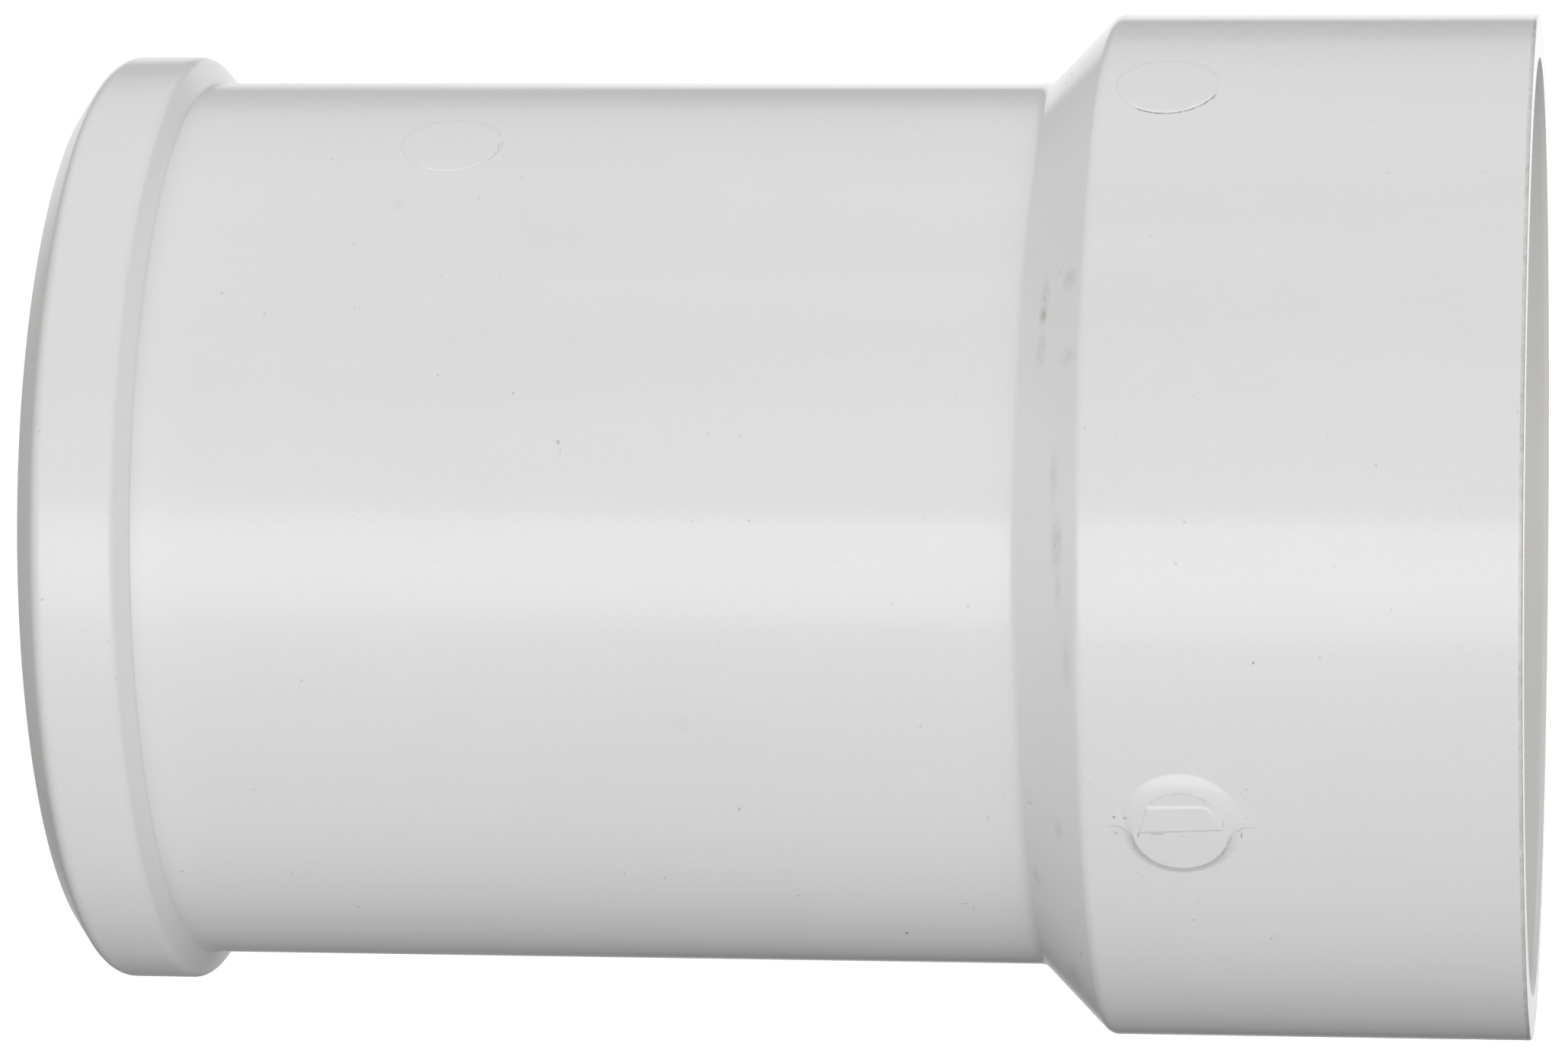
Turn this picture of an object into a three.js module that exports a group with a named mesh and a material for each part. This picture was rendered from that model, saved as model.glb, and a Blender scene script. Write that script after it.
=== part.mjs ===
// Reducing drain coupling: a bell hub for a pipe, a 45 degree cone, and a long plain
// spigot with a bead at its end. The fitting stands on the bead end, hub mouth up.
//
// It is one moulding with one wall. The wall is modelled here as five rings stacked on
// one another, one for each stretch of the fitting that a fitter would name.
//
// Millimetres, +Z up along the flow axis, origin at the centre of the bead end's face.

import * as THREE from "three";

// Lengths along the axis, from the bead end's face.
const TOTAL_LENGTH = 178.8;
const BEAD_LAND_START = 2.95;
const BEAD_LAND_END = 12.25;
const BEAD_FOOT = 13.95;
const CONE_START = 119.1;
const CONE_END = 127.4;
const SOCKET_DEPTH = 47.6;
const STOP_HEIGHT = 3.0;

// Outside radii.
const BEAD_END_RADIUS = 53.55;
const BEAD_RADIUS = 57.85;
const BARREL_RADIUS = 54.6;
const HUB_RADIUS = 63.1;

// Inside radii. The socket narrows slightly from its mouth to its stop.
const BORE_RADIUS = 49.4;
const BORE_EDGE_RADIUS = 49.9;
const STOP_RADIUS = 51.4;
const SOCKET_BOTTOM_RADIUS = 57.1;
const SOCKET_MOUTH_RADIUS = 57.4;
const LEAD_IN_RADIUS = 57.75;

// Edge roundings.
const BEAD_CHAMFER_FILLET = 2.5;
const BEAD_SHOULDER_FILLET = 1.25;
const CONE_FOOT_FILLET = 2.0;
const HUB_CORNER_FILLET = 1.8;
const RIM_EDGE_ROUNDING = 0.35;
const LEAD_IN_LENGTH = 0.6;
const BORE_EDGE_LENGTH = 0.5;

const SEGMENTS_AROUND = 96;
const ARC_STEPS = 4;

const stopTop = TOTAL_LENGTH - SOCKET_DEPTH;
const stopBottom = stopTop - STOP_HEIGHT;
// Slopes of the wall's outside, as angles from the flow axis.
const coneSlope = Math.atan2(HUB_RADIUS - BARREL_RADIUS, CONE_END - CONE_START);
const chamferSlope = Math.atan2(BEAD_RADIUS - BEAD_END_RADIUS, BEAD_LAND_START);
const shoulderSlope = Math.atan2(BARREL_RADIUS - BEAD_RADIUS, BEAD_FOOT - BEAD_LAND_END);

// Points that round the corner between two straight lines of an outline. Headings are
// angles from the flow axis, positive where the radius grows.
function roundedCorner(cornerRadius, cornerHeight, headingIn, headingOut, filletRadius) {
  const turn = headingOut - headingIn;
  const reach = filletRadius * Math.tan(Math.abs(turn) / 2);
  const points = [];
  const startRadius = cornerRadius - reach * Math.sin(headingIn);
  const startHeight = cornerHeight - reach * Math.cos(headingIn);
  const side = Math.sign(turn);
  const centreRadius = startRadius + side * filletRadius * Math.cos(headingIn);
  const centreHeight = startHeight - side * filletRadius * Math.sin(headingIn);
  for (let step = 0; step <= ARC_STEPS; step += 1) {
    const heading = headingIn + (turn * step) / ARC_STEPS;
    const radius = centreRadius - side * filletRadius * Math.cos(heading);
    const height = centreHeight + side * filletRadius * Math.sin(heading);
    points.push([radius, height]);
  }
  return points;
}

function moulding(name, colour, roughness) {
  const material = new THREE.MeshStandardMaterial({ color: colour, roughness, metalness: 0 });
  material.name = name;
  return material;
}

// Turns a closed outline of [radius, height] points about the flow axis. The outline
// climbs the outside of the wall and comes down its inside.
function ring(name, outline, material) {
  const profile = outline.map(([radius, height]) => new THREE.Vector2(radius, height));
  profile.push(profile[0].clone());
  const lathe = new THREE.LatheGeometry(profile, SEGMENTS_AROUND);
  lathe.rotateX(Math.PI / 2);
  const mesh = new THREE.Mesh(lathe, material);
  mesh.name = name;
  return mesh;
}

const coneFoot = roundedCorner(BARREL_RADIUS, CONE_START, 0, coneSlope, CONE_FOOT_FILLET);
const barrelTop = coneFoot[0][1];

function spigotBead() {
  const outline = [
    [BEAD_END_RADIUS, 0],
    ...roundedCorner(BEAD_RADIUS, BEAD_LAND_START, chamferSlope, 0, BEAD_CHAMFER_FILLET),
    ...roundedCorner(BEAD_RADIUS, BEAD_LAND_END, 0, shoulderSlope, BEAD_SHOULDER_FILLET),
    [BARREL_RADIUS, BEAD_FOOT],
    [BORE_RADIUS, BEAD_FOOT],
    [BORE_RADIUS, BORE_EDGE_LENGTH],
    [BORE_EDGE_RADIUS, 0],
  ];
  return ring("spigot_bead", outline, moulding("bead_finish", 0xd6d6d4, 0.34));
}

function spigotBarrel() {
  const outline = [
    [BARREL_RADIUS, BEAD_FOOT],
    [BARREL_RADIUS, barrelTop],
    [BORE_RADIUS, barrelTop],
    [BORE_RADIUS, BEAD_FOOT],
  ];
  return ring("spigot_barrel", outline, moulding("barrel_finish", 0xdcdcda, 0.26));
}

function reducingCone() {
  const outline = [
    ...coneFoot,
    ...roundedCorner(HUB_RADIUS, CONE_END, coneSlope, 0, HUB_CORNER_FILLET),
    [HUB_RADIUS, stopBottom],
    [STOP_RADIUS, stopBottom],
    [BORE_RADIUS, barrelTop],
  ];
  return ring("reducing_cone", outline, moulding("cone_finish", 0xd0d0cd, 0.4));
}

function socketStop() {
  const outline = [
    [SOCKET_BOTTOM_RADIUS, stopBottom],
    [SOCKET_BOTTOM_RADIUS, stopTop],
    [STOP_RADIUS, stopTop],
    [STOP_RADIUS, stopBottom],
  ];
  return ring("socket_stop", outline, moulding("stop_finish", 0xdadad8, 0.34));
}

function hubSocket() {
  const outline = [
    [HUB_RADIUS, stopBottom],
    [HUB_RADIUS, TOTAL_LENGTH - RIM_EDGE_ROUNDING],
    [HUB_RADIUS - RIM_EDGE_ROUNDING, TOTAL_LENGTH],
    [LEAD_IN_RADIUS, TOTAL_LENGTH],
    [SOCKET_MOUTH_RADIUS, TOTAL_LENGTH - LEAD_IN_LENGTH],
    [SOCKET_BOTTOM_RADIUS, stopTop],
    [SOCKET_BOTTOM_RADIUS, stopBottom],
  ];
  return ring("hub_socket", outline, moulding("hub_finish", 0xdededc, 0.24));
}

const fitting = new THREE.Group();
fitting.name = "reducing_coupling";
for (const makeSection of [spigotBead, spigotBarrel, reducingCone, socketStop, hubSocket]) {
  fitting.add(makeSection());
}

export default fitting;
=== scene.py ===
"""White PVC reducing drain coupling: a bell hub, a cone and a beaded spigot in one moulding.

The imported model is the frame, in metres with +Z up. The fitting stands on its bead end.
Angles round the flow axis are measured from -Y towards +X.
"""

import math

import bpy
import numpy as np
from mathutils import Matrix, Vector


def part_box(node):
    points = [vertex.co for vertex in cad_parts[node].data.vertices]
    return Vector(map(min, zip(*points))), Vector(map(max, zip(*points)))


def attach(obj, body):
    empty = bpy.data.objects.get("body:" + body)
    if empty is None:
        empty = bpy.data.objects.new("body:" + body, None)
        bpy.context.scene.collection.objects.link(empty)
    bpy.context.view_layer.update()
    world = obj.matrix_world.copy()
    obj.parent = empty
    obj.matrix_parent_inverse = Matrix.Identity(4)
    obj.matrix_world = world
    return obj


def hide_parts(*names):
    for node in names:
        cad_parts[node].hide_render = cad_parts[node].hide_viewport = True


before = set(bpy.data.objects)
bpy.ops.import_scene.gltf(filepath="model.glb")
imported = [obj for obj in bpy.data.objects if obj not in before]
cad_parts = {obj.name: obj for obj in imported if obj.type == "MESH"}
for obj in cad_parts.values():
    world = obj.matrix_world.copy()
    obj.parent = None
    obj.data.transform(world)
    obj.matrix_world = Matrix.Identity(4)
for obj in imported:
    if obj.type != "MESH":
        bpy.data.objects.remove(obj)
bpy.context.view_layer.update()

bl_info = {
    "name": "Reducing Drain Coupling",
    "version": (1, 0, 0),
    "blender": (4, 5, 0),
    "location": "3D View > Sidebar > Coupling",
    "description": "A moulded PVC coupling with a bell hub, a cone and a beaded spigot",
    "category": "Add Mesh",
}

MM = 0.001
SHARP_ANGLE = math.radians(50)
FILLET_STEP = math.radians(7.5)
SAME_RADIUS = 1e-7
ROW_GAP = 1e-5

# Heights in millimetres and angles in degrees of the gate and of the insert marks.
GATE = (138.97, 34.0)
HUB_MARK = (135.45, -56.25)
BARREL_MARK = (48.10, -56.7)
# Where the hub's mesh is fine enough for the gate: heights, then angles from its centre.
GATE_ROWS = (129.0 * MM, 149.4 * MM, 0.14 * MM)
GATE_COLUMNS = (math.radians(8.0), math.radians(0.12))


def node_size(node):
    """Outside radius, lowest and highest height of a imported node."""
    low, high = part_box(node)
    return round(high.x, 6), round(low.z, 6), round(high.z, 6)


BEAD_RADIUS, _, BEAD_FOOT = node_size("spigot_bead")
BARREL_RADIUS, _, BARREL_TOP = node_size("spigot_barrel")
HUB_RADIUS, STOP_BOTTOM, TOTAL_LENGTH = node_size("hub_socket")
SOCKET_BOTTOM_RADIUS, _, STOP_TOP = node_size("socket_stop")

# The sections meet on straight stretches of the wall, where a joint can't show.
BEAD_JOINT = BEAD_FOOT + 0.5 * MM
BARREL_JOINT = BARREL_TOP - 0.4 * MM
CONE_JOINT = STOP_BOTTOM + 0.4 * MM


# ---------------------------------------------------------------- settings


def number(name, description, default, **more):
    return bpy.props.FloatProperty(name=name, description=description, default=default, **more)


def whole(name, description, default, **more):
    return bpy.props.IntProperty(name=name, description=description, default=default, **more)


def length(name, description, default):
    return number(name, description, default, precision=5, unit="LENGTH", subtype="DISTANCE")


def radians(name, description, default):
    return number(name, description, default, unit="ROTATION", subtype="ANGLE")


def angle(name, description, degrees):
    return radians(name, description, math.radians(degrees))


def share(name, description, default):
    return number(name, description, default, min=0.0, max=1.0, subtype="FACTOR")


def colour(name, description, default):
    return bpy.props.FloatVectorProperty(
        name=name, description=description, default=default, size=3,
        min=0.0, max=1.0, subtype="COLOR",
    )


class CouplingShape(bpy.types.PropertyGroup):
    """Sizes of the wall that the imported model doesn't give by its boxes."""

    bead_end_radius: length("Bead End Radius", "Outside radius of the end face", 53.55 * MM)
    bead_land_start: length("Bead Land Start", "Height where the end chamfer stops", 2.95 * MM)
    bead_land_end: length("Bead Land End", "Height where the bead's shoulder starts", 12.25 * MM)
    cone_start: length("Cone Start", "Height where the cone's outside starts", 119.1 * MM)
    cone_end: length("Cone End", "Height where the cone's outside ends", 127.4 * MM)
    bore_radius: length("Bore Radius", "Inside radius of the spigot", 49.4 * MM)
    stop_radius: length("Stop Radius", "Inside radius of the pipe stop", 51.4 * MM)
    mouth_radius: length("Mouth Radius", "Inside radius of the socket at its mouth", 57.4 * MM)
    lead_in_radius: length("Lead In Radius", "Inside radius of the rim's lead-in", 57.75 * MM)
    lead_in_length: length("Lead In Length", "Depth of the rim's lead-in", 0.6 * MM)
    chamfer_fillet: length("Chamfer Fillet", "Rounding from chamfer to bead", 2.5 * MM)
    shoulder_fillet: length("Shoulder Fillet", "Rounding from bead to shoulder", 1.25 * MM)
    cone_foot_fillet: length("Cone Foot Fillet", "Rounding from barrel to cone", 2.0 * MM)
    hub_corner_fillet: length("Hub Corner Fillet", "Rounding from cone to hub", 1.8 * MM)
    edge_fillet: length("Edge Fillet", "Rounding of the cut and moulded edges", 0.35 * MM)
    segments: whole("Segments", "Divisions round a plain section", 360, min=48)


class MouldMarks(bpy.types.PropertyGroup):
    """What the mould left on the fitting's outside."""

    parting_angle: angle("Parting Angle", "Where the mould's halves met", GATE[1])
    gate_height: length("Gate Height", "Height of the injection gate's centre", GATE[0] * MM)
    gate_lift: length("Gate Lift", "How far the gate's boss stands proud", 0.75 * MM)
    hub_mark_angle: angle("Hub Mark Angle", "Where the hub's insert mark is", HUB_MARK[1])
    hub_mark_height: length("Hub Mark Height", "Height of the hub's mark", HUB_MARK[0] * MM)
    barrel_mark_angle: angle("Barrel Mark Angle", "Where the barrel's mark is", BARREL_MARK[1])
    barrel_mark_height: length(
        "Barrel Mark Height", "Height of the barrel's mark", BARREL_MARK[0] * MM
    )
    mark_radius: length("Mark Radius", "Radius of the round insert marks", 6.12 * MM)
    mark_lift: length("Mark Lift", "How far an insert mark's print stands proud", 0.09 * MM)
    mark_edge: length("Mark Edge", "Rounding of the print's edge", 0.24 * MM)
    flash_radius: length("Flash Radius", "Radius of the parting line's bead", 0.07 * MM)
    flash_sink: length("Flash Sink", "How far that bead sits in the wall", 0.048 * MM)
    burr_count: whole("Burr Count", "Flecks left along the rim", 46, min=0)
    burr_size: length("Burr Size", "Radius of a fleck on the rim", 0.11 * MM)
    seed: whole("Seed", "Seed of the flecks", 11)


class PvcFinish(bpy.types.PropertyGroup):
    """Colours and gloss of the moulded PVC, and the colours and the factor that paint light and
    shade on it.
    """

    light: colour("Light", "The plastic where it is cleanest", (0.807, 0.804, 0.801))
    dull: colour("Dull", "The plastic where it is slightly duller", (0.757, 0.754, 0.749))
    bore: colour("Bore", "The inside, slightly warmer", (0.826, 0.815, 0.793))
    # Pale colour of the painted highlights along the lower edges of the insert prints.
    painted_highlight: colour("Painted Highlight", "Edges that handling has polished pale", (0.95, 0.95, 0.94))
    # Also the colour of the painted shade below the gate's boss and along the rim's outer edge.
    speck_and_shade: colour("Speck", "Burnt specks in the plastic", (0.20, 0.18, 0.15))
    # Also paints the shade on the bead's end chamfer.
    dirt_and_shade: colour("Dirt", "Handling dirt and shop dust", (0.36, 0.33, 0.27))
    # Painted light: the cone and the bead's shoulder are painted paler by this factor, for light
    # from below that the lamps don't give.
    slope_painted_light: number(
        "Slope Lift", "How much paler the cone and the bead's shoulder are", 1.045,
        min=0.5, max=1.2,
    )
    roughness: share("Roughness", "Roughness of the outside", 0.11)
    bead_roughness: share("Bead Roughness", "Extra roughness towards the bead end", 0.10)
    cone_roughness: share("Cone Roughness", "Extra roughness of the cone", 0.03)
    inside_roughness: share("Inside Roughness", "Roughness of the bore and socket", 0.42)


class StudioSettings(bpy.types.PropertyGroup):
    """Camera, floor and light."""

    camera_place: bpy.props.FloatVectorProperty(
        name="Camera Place", description="Where the camera stands", size=3,
        default=(0.0, -0.91227, 0.20189), subtype="XYZ", unit="LENGTH",
    )
    camera_dip: radians("Camera Dip", "How far the camera looks down", 0.12717)
    camera_shift: number(
        "Camera Shift", "Upward shift of the lens, in sensor widths", -0.00316, precision=5,
    )
    camera_roll: radians("Camera Roll", "Turn of the frame about the line of sight", -0.00759)
    lens: number(
        "Lens", "Focal length on a 36 mm wide sensor", 169.17,
        unit="CAMERA", subtype="DISTANCE_CAMERA",
    )
    floor_tone: share("Floor Tone", "How pale the floor is", 0.94)
    floor_glow: share("Floor Glow", "Light that the floor adds of its own", 1.0)


# ---------------------------------------------------------------- node building


def shortcut(operation):
    """A method of Wire that applies one maths operation."""

    def apply(self, *others):
        return self.maths(operation, *others)

    return apply


class Wire:
    """An output socket that Python's operators work on."""

    def __init__(self, graph, socket):
        self.graph = graph
        self.socket = socket

    def maths(self, operation, *others):
        return self.graph.add(
            "ShaderNodeMath", {"operation": operation}, (self, *others)
        )

    __add__ = __radd__ = shortcut("ADD")
    __sub__ = shortcut("SUBTRACT")
    __mul__ = __rmul__ = shortcut("MULTIPLY")
    __truediv__ = shortcut("DIVIDE")
    __gt__ = shortcut("GREATER_THAN")
    __abs__ = shortcut("ABSOLUTE")
    root = shortcut("SQRT")
    most = shortcut("MAXIMUM")
    least = shortcut("MINIMUM")

    def __rsub__(self, other):
        return self.graph.add("ShaderNodeMath", {"operation": "SUBTRACT"}, (other, self))

    def __neg__(self):
        return self.maths("MULTIPLY", -1.0)

    def step(self, start, end, low=0.0, high=1.0):
        """Runs smoothly from low at start to high at end, whichever of them is larger."""
        if start > end:
            start, end, low, high = end, start, high, low
        return self.graph.add(
            "ShaderNodeMapRange",
            {"interpolation_type": "SMOOTHSTEP"},
            {"Value": self, "From Min": start, "From Max": end, "To Min": low, "To Max": high},
        )


class Graph:
    """Adds nodes to one tree."""

    def __init__(self, tree):
        self.tree = tree

    def add(self, kind, settings=None, inputs=None, output=0):
        """Makes a node. Settings are set first, then the values or links of its inputs."""
        node = self.tree.nodes.new(kind)
        for name, value in (settings or {}).items():
            if name == "stops":
                self.set_stops(node.color_ramp, value)
            else:
                setattr(node, name, value)
        pairs = inputs.items() if isinstance(inputs, dict) else enumerate(inputs or ())
        for key, value in pairs:
            socket = node.inputs[key]
            if isinstance(value, Wire):
                self.tree.links.new(value.socket, socket)
            elif value is not None:
                socket.default_value = value
        if output is None:
            return node
        return Wire(self, node.outputs[output])

    @staticmethod
    def set_stops(ramp, stops):
        ramp.interpolation = "LINEAR"
        while len(ramp.elements) < len(stops):
            ramp.elements.new(1.0)
        for element, (position, value) in zip(ramp.elements, stops):
            element.position = position
            element.color = (value, value, value, 1.0)

    def split(self, vector):
        node = self.add("ShaderNodeSeparateXYZ", None, (vector,), None)
        return tuple(Wire(self, socket) for socket in node.outputs)

    def join(self, x, y, z=0.0):
        return self.add("ShaderNodeCombineXYZ", None, (x, y, z))

    def vector(self, operation, *inputs, output=0):
        return self.add("ShaderNodeVectorMath", {"operation": operation}, inputs, output)

    def noise(self, vector, scale, detail=2.0, roughness=0.5):
        """Noise about zero, roughly from -0.5 to 0.5."""
        made = self.add(
            "ShaderNodeTexNoise", {"noise_dimensions": "3D"},
            {"Vector": vector, "Scale": scale, "Detail": detail, "Roughness": roughness},
        )
        return made - 0.5

    def blend(self, factor, first, second):
        """Mixes two colours."""
        node = self.add("ShaderNodeMix", {"data_type": "RGBA"}, None, None)
        for socket, value in ((node.inputs[0], factor), (node.inputs[6], first),
                              (node.inputs[7], second)):
            if isinstance(value, Wire):
                self.tree.links.new(value.socket, socket)
            elif socket.type == "RGBA":
                socket.default_value = (*value, 1.0)
            else:
                socket.default_value = value
        return Wire(self, node.outputs[2])


def empty_graph(owner):
    """Gives a material or a world an empty node tree."""
    owner.use_nodes = True
    owner.node_tree.nodes.clear()
    return Graph(owner.node_tree)


def socket_key(tree, name):
    """Identifier of a tree's named input, which is how a modifier knows it."""
    for item in tree.interface.items_tree:
        if item.in_out == "INPUT" and item.name == name:
            return item.identifier
    raise RuntimeError(f"the tree {tree.name} has no input named {name}")


def geometry_tree(name, sizes):
    """A new geometry tree with inputs for a geometry, the sizes by kind, and a finish."""
    tree = bpy.data.node_groups.new(name, "GeometryNodeTree")
    for size_name, kind in {"Geometry": "Geometry", **sizes, "Finish": "Material"}.items():
        tree.interface.new_socket(size_name, in_out="INPUT", socket_type=f"NodeSocket{kind}")
    tree.interface.new_socket("Geometry", in_out="OUTPUT", socket_type="NodeSocketGeometry")
    graph = Graph(tree)
    source = graph.add("NodeGroupInput", output=None)
    given = {socket.name: Wire(graph, socket) for socket in source.outputs if socket.name}
    return tree, graph, given


# ---------------------------------------------------------------- mesh building


def link(name, mesh):
    piece = bpy.data.objects.new(name, mesh)
    bpy.context.scene.collection.objects.link(piece)
    return piece


def new_mesh(name, places, edges=(), faces=()):
    mesh = bpy.data.meshes.new(name)
    mesh.from_pydata(places, edges, faces)
    return mesh


def plain_mesh(piece, tree, values):
    """Runs a geometry tree on the piece and keeps its result as a plain mesh."""
    modifier = piece.modifiers.new(tree.name, "NODES")
    modifier.node_group = tree
    for name, value in values.items():
        modifier[socket_key(tree, name)] = value
    bpy.context.view_layer.update()
    graph = bpy.context.evaluated_depsgraph_get()
    result = bpy.data.meshes.new_from_object(piece.evaluated_get(graph))
    piece.modifiers.clear()
    piece.data = result
    result.name = piece.name


def check_closed(piece):
    """Raises an error if the mesh is open or its faces point inwards."""
    mesh = piece.data
    edge_use = np.zeros(len(mesh.edges), int)
    loop_edges = np.empty(len(mesh.loops), int)
    mesh.loops.foreach_get("edge_index", loop_edges)
    np.add.at(edge_use, loop_edges, 1)
    if len(edge_use) == 0 or not (edge_use == 2).all():
        raise RuntimeError(f"{piece.name} is not closed")
    mesh.calc_loop_triangles()
    corners = np.empty(len(mesh.loop_triangles) * 3, int)
    mesh.loop_triangles.foreach_get("vertices", corners)
    places = np.empty(len(mesh.vertices) * 3)
    mesh.vertices.foreach_get("co", places)
    a, b, c = places.reshape(-1, 3)[corners].reshape(-1, 3, 3).transpose(1, 0, 2)
    if np.einsum("ij,ij->i", a, np.cross(b, c)).sum() <= 0:
        raise RuntimeError(f"{piece.name} is inside out")


def rounded_outline(corners):
    """Points of a closed outline of (radius, height, fillet) corners, with arcs at fillets."""
    points = []
    count = len(corners)
    for index, (radius, height, fillet) in enumerate(corners):
        here = Vector((radius, height))
        if not fillet:
            points.append((radius, height))
            continue
        before = Vector(corners[index - 1][:2])
        after = Vector(corners[(index + 1) % count][:2])
        way_in = (here - before).normalized()
        way_out = (after - here).normalized()
        turn = way_in.angle_signed(way_out)
        reach = fillet * math.tan(abs(turn) / 2)
        start = here - way_in * reach
        side = Vector((-way_in.y, way_in.x)) * (-1.0 if turn > 0 else 1.0)
        centre = start + side * fillet
        spoke = start - centre
        steps = max(2, math.ceil(abs(turn) / FILLET_STEP))
        for step in range(steps + 1):
            swing = -turn * step / steps
            cos, sin = math.cos(swing), math.sin(swing)
            points.append((
                centre.x + spoke.x * cos - spoke.y * sin,
                centre.y + spoke.x * sin + spoke.y * cos,
            ))
    return points


def graded(low, high, coarse, windows):
    """Values from low to high by coarse steps, with finer steps inside (from, to, step)."""
    values = [low]

    def climb(end, step):
        steps = max(1, math.ceil((end - values[-1]) / step))
        values.extend(np.linspace(values[-1], end, steps + 1)[1:])

    for start, end, fine in sorted(windows):
        climb(start, coarse)
        climb(end, fine)
    climb(high, coarse)
    return np.array(values)


def ring_angles(windows, coarse=math.radians(1.5)):
    """Angles round the axis, once, finer inside the windows of (centre, half, step)."""
    spans = [(centre - half, centre + half, fine) for centre, half, fine in windows]
    return graded(-math.pi, math.pi, coarse, spans)[:-1]


def with_rows(outline, radius, heights):
    """Adds rows at these heights to the outline's climb along the given radius."""
    rows = []
    for index, (r, z) in enumerate(outline):
        rows.append((r, z))
        next_r, next_z = outline[(index + 1) % len(outline)]
        on_radius = max(abs(r - radius), abs(next_r - radius)) < SAME_RADIUS
        if on_radius and next_z > z:
            rows += [(radius, h) for h in heights if z + ROW_GAP < h < next_z - ROW_GAP]
    return rows


def on_wall(radii, angles, heights):
    """Places at these radii and heights, and at angles from -Y towards +X."""
    axes = (radii * np.sin(angles), -radii * np.cos(angles), heights)
    return np.stack(np.broadcast_arrays(*axes), axis=-1)


def turned_grid(name, outline, angles, outside_radius, relief):
    """A closed wall turned from the outline, its outside lifted by relief(angle, height)."""
    radii, heights = (np.array(column)[:, None] for column in zip(*outline))
    angles = np.asarray(angles)[None, :]
    outside = np.abs(radii - outside_radius) < SAME_RADIUS
    radii = radii + relief(angles, heights) * outside
    places = on_wall(radii, angles, heights)
    rows, columns = places.shape[:2]
    index = np.arange(rows * columns).reshape(rows, columns)
    up, along = np.roll(index, -1, 0), np.roll(index, -1, 1)
    quads = np.stack((index, along, np.roll(up, -1, 1), up), axis=-1).reshape(-1, 4)
    mesh = new_mesh(name, places.reshape(-1, 3).tolist(), faces=quads.tolist())
    mesh.shade_smooth()
    mesh.set_sharp_from_angle(angle=SHARP_ANGLE)
    return link(name, mesh)


def ramp(low, high, value):
    """Smooth step from 0 at low to 1 at high, on arrays."""
    share_done = np.clip((value - low) / (high - low), 0.0, 1.0)
    return share_done * share_done * (3.0 - 2.0 * share_done)


def nearest_turn(angles, centre):
    """Signed angle from the centre, the short way round."""
    return (angles - centre + math.pi) % (2 * math.pi) - math.pi


# ---------------------------------------------------------------- mould marks


PRINT_SEGMENTS = 128
# Rings of the print's flat part, as shares of its radius.
PRINT_RINGS = (0.3, 0.6, 0.85)
PRINT_EDGE_STEPS = 7
# How far the print's underside lies in the wall, in millimetres.
PRINT_SINK = 0.3
# Shares of the lift at the print's centre, and gained from there to its +angle side.
PRINT_LIFT, PRINT_TILT = 0.62, 0.38


def insert_print(wall_radius, centre_angle, centre_height, marks):
    """Vertices and faces of the low disc that a round mould insert leaves. It follows the
    wall, stands proudest at its +angle side, and has a rounded edge and a sunk underside."""
    around = PRINT_SEGMENTS
    size, edge = marks.mark_radius / MM, marks.mark_edge / MM
    rings = [(size * part, 0.0) for part in PRINT_RINGS]
    for step in range(PRINT_EDGE_STEPS + 1):
        bend = math.pi / 2 * step / PRINT_EDGE_STEPS
        rings.append((size - edge + edge * math.sin(bend), edge * (1.0 - math.cos(bend))))
    spin = np.arange(around) * 2 * math.pi / around
    layers = [(np.zeros(1), np.zeros(1), np.zeros(1))]
    for reach, drop in rings:
        layers.append((reach * np.cos(spin), reach * np.sin(spin), np.full(around, drop)))
    arcs = [layer[0] for layer in layers]
    rises = [layer[1] for layer in layers]
    lifts = [
        marks.mark_lift / MM * (PRINT_LIFT + PRINT_TILT * arc / size) - drop
        for arc, (_, _, drop) in zip(arcs, layers)
    ]
    arcs += [size * np.cos(spin), np.zeros(1)]
    rises += [size * np.sin(spin), np.zeros(1)]
    lifts += [np.full(around, -PRINT_SINK), np.full(1, -PRINT_SINK)]
    arc, rise, lift = (np.concatenate(parts) * MM for parts in (arcs, rises, lifts))
    angles = centre_angle + arc / wall_radius
    places = on_wall(wall_radius + lift, angles, centre_height + rise)
    faces = []
    last_ring = len(rings) * around + 1
    for step in range(around):
        after = (step + 1) % around
        faces.append((0, 1 + step, 1 + after))
        for ring in range(1, last_ring, around):
            faces.append((ring + step, ring + around + step, ring + around + after, ring + after))
        faces.append((last_ring + step, last_ring + around, last_ring + after))
    return places, faces


def insert_prints(name, wall_radius, centre_angle, centre_height, marks):
    """The two insert marks of one section, one on each half of the mould."""
    places, faces = [], []
    for half_turn in (0.0, math.pi):
        centre = centre_angle + half_turn
        disc, disc_faces = insert_print(wall_radius, centre, centre_height, marks)
        first = sum(len(part) for part in places)
        places.append(disc)
        faces += [tuple(first + corner for corner in face) for face in disc_faces]
    mesh = new_mesh(name, np.concatenate(places).tolist(), faces=faces)
    mesh.shade_smooth()
    return link(name, mesh)


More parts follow.
